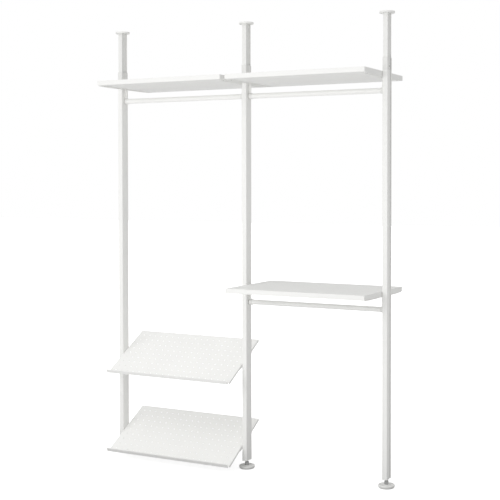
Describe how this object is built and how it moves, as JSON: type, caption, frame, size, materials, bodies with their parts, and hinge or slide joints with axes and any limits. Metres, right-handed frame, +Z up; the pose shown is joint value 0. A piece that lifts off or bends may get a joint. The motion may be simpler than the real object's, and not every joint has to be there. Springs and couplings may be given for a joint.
{
  "type": "open wardrobe on floor-to-ceiling posts",
  "caption": "Open wardrobe on telescopic floor-to-ceiling posts, with board shelves over clothes rails and sloping perforated shoe shelves.",
  "frame": {"origin": "on the floor under the middle post", "axes": "+X along the bays to the viewer's right, -Y the open front, +Z up"},
  "size_m": [1.746, 0.51, 2.45],
  "materials": {
    "white_metal": "satin powder coat",
    "white_board": "smooth white foil",
    "white_plastic": "matt",
    "grey_plastic": "matt",
    "steel": "zinc plated"
  },
  "bodies": {
    "frame": {"lower_post_left": "white_metal", "guide_collar_left": "white_plastic", "foot_insert_left": "grey_plastic", "lower_post_middle": "white_metal", "guide_collar_middle": "white_plastic", "foot_insert_middle": "grey_plastic", "lower_post_right": "white_metal", "guide_collar_right": "white_plastic", "foot_insert_right": "grey_plastic", "lock_plates": "steel", "lock_screws": "steel", "shelf_top_left": "white_board", "clothes_rail_top_left": "white_metal", "rail_holders_top_left": "white_plastic", "shelf_bracket_top_left_left": "white_metal", "shelf_bracket_top_left_right": "white_metal", "shelf_top_right": "white_board", "clothes_rail_top_right": "white_metal", "rail_holders_top_right": "white_plastic", "shelf_bracket_top_right_left": "white_metal", "shelf_bracket_top_right_right": "white_metal", "shelf_middle": "white_board", "clothes_rail_middle": "white_metal", "rail_holders_middle": "white_plastic", "shelf_bracket_middle_left": "white_metal", "shelf_bracket_middle_right": "white_metal", "shoe_shelf_upper": "white_metal", "shoe_bracket_upper_left": "white_metal", "shoe_bracket_upper_right": "white_metal", "shoe_shelf_lower": "white_metal", "shoe_bracket_lower_left": "white_metal", "shoe_bracket_lower_right": "white_metal", "track_clamps": "steel", "track_covers": "white_plastic"},
    "upper_left": {"upper_post_left": "white_metal", "guide_shoe_left": "grey_plastic", "ceiling_disc_left": "white_plastic"},
    "foot_left": {"foot_stem_left": "steel", "foot_disc_left": "grey_plastic"},
    "upper_middle": {"upper_post_middle": "white_metal", "guide_shoe_middle": "grey_plastic", "ceiling_disc_middle": "white_plastic"},
    "foot_middle": {"foot_stem_middle": "steel", "foot_disc_middle": "grey_plastic"},
    "upper_right": {"upper_post_right": "white_metal", "guide_shoe_right": "grey_plastic", "ceiling_disc_right": "white_plastic"},
    "foot_right": {"foot_stem_right": "steel", "foot_disc_right": "grey_plastic"}
  },
  "joints": [
    {"name": "upper_slide_left", "type": "slide", "parent": "frame", "child": "upper_left", "axis": [0, 0, 1], "range_m": [-0.222, 1.03]},
    {"name": "foot_screw_left", "type": "slide", "parent": "frame", "child": "foot_left", "axis": [0, 0, -1], "range_m": [-0.008, 0.02]},
    {"name": "upper_slide_middle", "type": "slide", "parent": "frame", "child": "upper_middle", "axis": [0, 0, 1], "range_m": [-0.222, 1.03]},
    {"name": "foot_screw_middle", "type": "slide", "parent": "frame", "child": "foot_middle", "axis": [0, 0, -1], "range_m": [-0.008, 0.02]},
    {"name": "upper_slide_right", "type": "slide", "parent": "frame", "child": "upper_right", "axis": [0, 0, 1], "range_m": [-0.222, 1.03]},
    {"name": "foot_screw_right", "type": "slide", "parent": "frame", "child": "foot_right", "axis": [0, 0, -1], "range_m": [-0.008, 0.02]}
  ]
}
